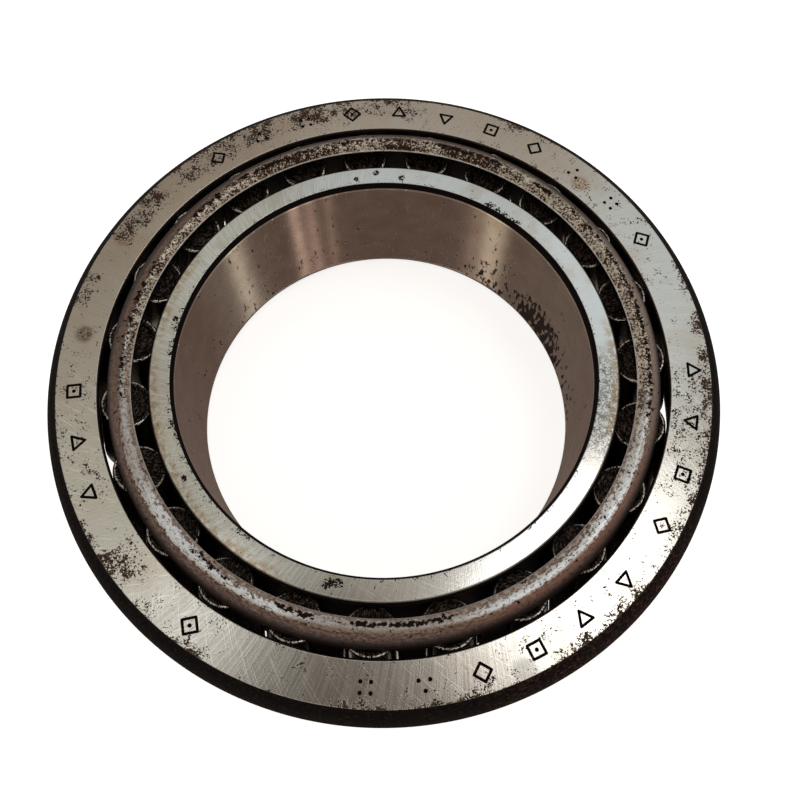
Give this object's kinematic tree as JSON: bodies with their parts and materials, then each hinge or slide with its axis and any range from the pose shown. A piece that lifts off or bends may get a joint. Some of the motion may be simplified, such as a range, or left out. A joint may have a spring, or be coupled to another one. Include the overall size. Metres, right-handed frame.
{
  "type": "tapered roller bearing",
  "caption": "Single-row tapered roller bearing: inner cone with ribs, separable outer cup, tapered rollers in a pressed sheet cage with a curled rim.",
  "frame": {"origin": "centre of the cone's back face, on the bearing's axis", "axes": "+Z along the bearing's axis, from the wide roller ends to the narrow roller ends; roller_01 lies on +X"},
  "size_m": [0.16, 0.1599, 0.0435],
  "materials": {
    "cup_steel": "ground bearing steel, satin, fine arched grinding marks, scattered dark brown rust pits, dark corner",
    "cone_steel": "ground bearing steel, brighter satin faces, brown-grey bore with rust stains",
    "cage_steel": "pressed sheet steel, rough pinkish brown oxide with worn bright speckle and dark pits",
    "roller_steel": "ground rolling surface, dark oily brown ends with fine scratches and a bright edge"
  },
  "bodies": {
    "cone": {"cone": "cone_steel"},
    "cup": {"cup": "cup_steel"},
    "cage": {"cage": "cage_steel"},
    "roller_01": {"roller_01": "roller_steel"},
    "roller_02": {"roller_02": "roller_steel"},
    "roller_03": {"roller_03": "roller_steel"},
    "roller_04": {"roller_04": "roller_steel"},
    "roller_05": {"roller_05": "roller_steel"},
    "roller_06": {"roller_06": "roller_steel"},
    "roller_07": {"roller_07": "roller_steel"},
    "roller_08": {"roller_08": "roller_steel"},
    "roller_09": {"roller_09": "roller_steel"},
    "roller_10": {"roller_10": "roller_steel"},
    "roller_11": {"roller_11": "roller_steel"},
    "roller_12": {"roller_12": "roller_steel"},
    "roller_13": {"roller_13": "roller_steel"},
    "roller_14": {"roller_14": "roller_steel"},
    "roller_15": {"roller_15": "roller_steel"},
    "roller_16": {"roller_16": "roller_steel"},
    "roller_17": {"roller_17": "roller_steel"},
    "roller_18": {"roller_18": "roller_steel"},
    "roller_19": {"roller_19": "roller_steel"},
    "roller_20": {"roller_20": "roller_steel"},
    "roller_21": {"roller_21": "roller_steel"},
    "roller_22": {"roller_22": "roller_steel"},
    "roller_23": {"roller_23": "roller_steel"}
  },
  "joints": [
    {"name": "cup_spin", "type": "hinge", "parent": "cone", "child": "cup", "pos_m": [0, 0, 0.025], "axis": [0, 0, 1], "continuous": true},
    {"name": "cage_spin", "type": "hinge", "parent": "cone", "child": "cage", "pos_m": [0, 0, 0.025], "axis": [0, 0, 1], "continuous": true},
    {"name": "roller_01_spin", "type": "hinge", "parent": "cage", "child": "roller_01", "pos_m": [0.06903, 0, 0.0096], "axis": [-0.273, 0, 0.962], "continuous": true},
    {"name": "roller_02_spin", "type": "hinge", "parent": "cage", "child": "roller_02", "pos_m": [0.06647, 0.01862, 0.0096], "axis": [-0.2628, -0.0736, 0.962], "continuous": true},
    {"name": "roller_03_spin", "type": "hinge", "parent": "cage", "child": "roller_03", "pos_m": [0.05898, 0.03587, 0.0096], "axis": [-0.2332, -0.1418, 0.962], "continuous": true},
    {"name": "roller_04_spin", "type": "hinge", "parent": "cage", "child": "roller_04", "pos_m": [0.04712, 0.05045, 0.0096], "axis": [-0.1863, -0.1995, 0.962], "continuous": true},
    {"name": "roller_05_spin", "type": "hinge", "parent": "cage", "child": "roller_05", "pos_m": [0.03176, 0.06129, 0.0096], "axis": [-0.1256, -0.2423, 0.962], "continuous": true},
    {"name": "roller_06_spin", "type": "hinge", "parent": "cage", "child": "roller_06", "pos_m": [0.01404, 0.06759, 0.0096], "axis": [-0.0555, -0.2672, 0.962], "continuous": true},
    {"name": "roller_07_spin", "type": "hinge", "parent": "cage", "child": "roller_07", "pos_m": [-0.00471, 0.06887, 0.0096], "axis": [0.0186, -0.2723, 0.962], "continuous": true},
    {"name": "roller_08_spin", "type": "hinge", "parent": "cage", "child": "roller_08", "pos_m": [-0.02312, 0.06504, 0.0096], "axis": [0.0914, -0.2572, 0.962], "continuous": true},
    {"name": "roller_09_spin", "type": "hinge", "parent": "cage", "child": "roller_09", "pos_m": [-0.03981, 0.0564, 0.0096], "axis": [0.1574, -0.223, 0.962], "continuous": true},
    {"name": "roller_10_spin", "type": "hinge", "parent": "cage", "child": "roller_10", "pos_m": [-0.05355, 0.04356, 0.0096], "axis": [0.2117, -0.1723, 0.962], "continuous": true},
    {"name": "roller_11_spin", "type": "hinge", "parent": "cage", "child": "roller_11", "pos_m": [-0.06332, 0.0275, 0.0096], "axis": [0.2504, -0.1087, 0.962], "continuous": true},
    {"name": "roller_12_spin", "type": "hinge", "parent": "cage", "child": "roller_12", "pos_m": [-0.06839, 0.0094, 0.0096], "axis": [0.2704, -0.0372, 0.962], "continuous": true},
    {"name": "roller_13_spin", "type": "hinge", "parent": "cage", "child": "roller_13", "pos_m": [-0.06839, -0.0094, 0.0096], "axis": [0.2704, 0.0372, 0.962], "continuous": true},
    {"name": "roller_14_spin", "type": "hinge", "parent": "cage", "child": "roller_14", "pos_m": [-0.06332, -0.0275, 0.0096], "axis": [0.2504, 0.1087, 0.962], "continuous": true},
    {"name": "roller_15_spin", "type": "hinge", "parent": "cage", "child": "roller_15", "pos_m": [-0.05355, -0.04356, 0.0096], "axis": [0.2117, 0.1723, 0.962], "continuous": true},
    {"name": "roller_16_spin", "type": "hinge", "parent": "cage", "child": "roller_16", "pos_m": [-0.03981, -0.0564, 0.0096], "axis": [0.1574, 0.223, 0.962], "continuous": true},
    {"name": "roller_17_spin", "type": "hinge", "parent": "cage", "child": "roller_17", "pos_m": [-0.02312, -0.06504, 0.0096], "axis": [0.0914, 0.2572, 0.962], "continuous": true},
    {"name": "roller_18_spin", "type": "hinge", "parent": "cage", "child": "roller_18", "pos_m": [-0.00471, -0.06887, 0.0096], "axis": [0.0186, 0.2723, 0.962], "continuous": true},
    {"name": "roller_19_spin", "type": "hinge", "parent": "cage", "child": "roller_19", "pos_m": [0.01404, -0.06759, 0.0096], "axis": [-0.0555, 0.2672, 0.962], "continuous": true},
    {"name": "roller_20_spin", "type": "hinge", "parent": "cage", "child": "roller_20", "pos_m": [0.03176, -0.06129, 0.0096], "axis": [-0.1256, 0.2423, 0.962], "continuous": true},
    {"name": "roller_21_spin", "type": "hinge", "parent": "cage", "child": "roller_21", "pos_m": [0.04712, -0.05045, 0.0096], "axis": [-0.1863, 0.1995, 0.962], "continuous": true},
    {"name": "roller_22_spin", "type": "hinge", "parent": "cage", "child": "roller_22", "pos_m": [0.05898, -0.03587, 0.0096], "axis": [-0.2332, 0.1418, 0.962], "continuous": true},
    {"name": "roller_23_spin", "type": "hinge", "parent": "cage", "child": "roller_23", "pos_m": [0.06647, -0.01862, 0.0096], "axis": [-0.2628, 0.0736, 0.962], "continuous": true}
  ],
  "couplings": [
    {"joint": "cage_spin", "follows": "cup_spin", "ratio": 0.54799},
    {"joint": "roller_01_spin", "follows": "cup_spin", "ratio": 4.9651},
    {"joint": "roller_02_spin", "follows": "cup_spin", "ratio": 4.9651},
    {"joint": "roller_03_spin", "follows": "cup_spin", "ratio": 4.9651},
    {"joint": "roller_04_spin", "follows": "cup_spin", "ratio": 4.9651},
    {"joint": "roller_05_spin", "follows": "cup_spin", "ratio": 4.9651},
    {"joint": "roller_06_spin", "follows": "cup_spin", "ratio": 4.9651},
    {"joint": "roller_07_spin", "follows": "cup_spin", "ratio": 4.9651},
    {"joint": "roller_08_spin", "follows": "cup_spin", "ratio": 4.9651},
    {"joint": "roller_09_spin", "follows": "cup_spin", "ratio": 4.9651},
    {"joint": "roller_10_spin", "follows": "cup_spin", "ratio": 4.9651},
    {"joint": "roller_11_spin", "follows": "cup_spin", "ratio": 4.9651},
    {"joint": "roller_12_spin", "follows": "cup_spin", "ratio": 4.9651},
    {"joint": "roller_13_spin", "follows": "cup_spin", "ratio": 4.9651},
    {"joint": "roller_14_spin", "follows": "cup_spin", "ratio": 4.9651},
    {"joint": "roller_15_spin", "follows": "cup_spin", "ratio": 4.9651},
    {"joint": "roller_16_spin", "follows": "cup_spin", "ratio": 4.9651},
    {"joint": "roller_17_spin", "follows": "cup_spin", "ratio": 4.9651},
    {"joint": "roller_18_spin", "follows": "cup_spin", "ratio": 4.9651},
    {"joint": "roller_19_spin", "follows": "cup_spin", "ratio": 4.9651},
    {"joint": "roller_20_spin", "follows": "cup_spin", "ratio": 4.9651},
    {"joint": "roller_21_spin", "follows": "cup_spin", "ratio": 4.9651},
    {"joint": "roller_22_spin", "follows": "cup_spin", "ratio": 4.9651},
    {"joint": "roller_23_spin", "follows": "cup_spin", "ratio": 4.9651}
  ]
}
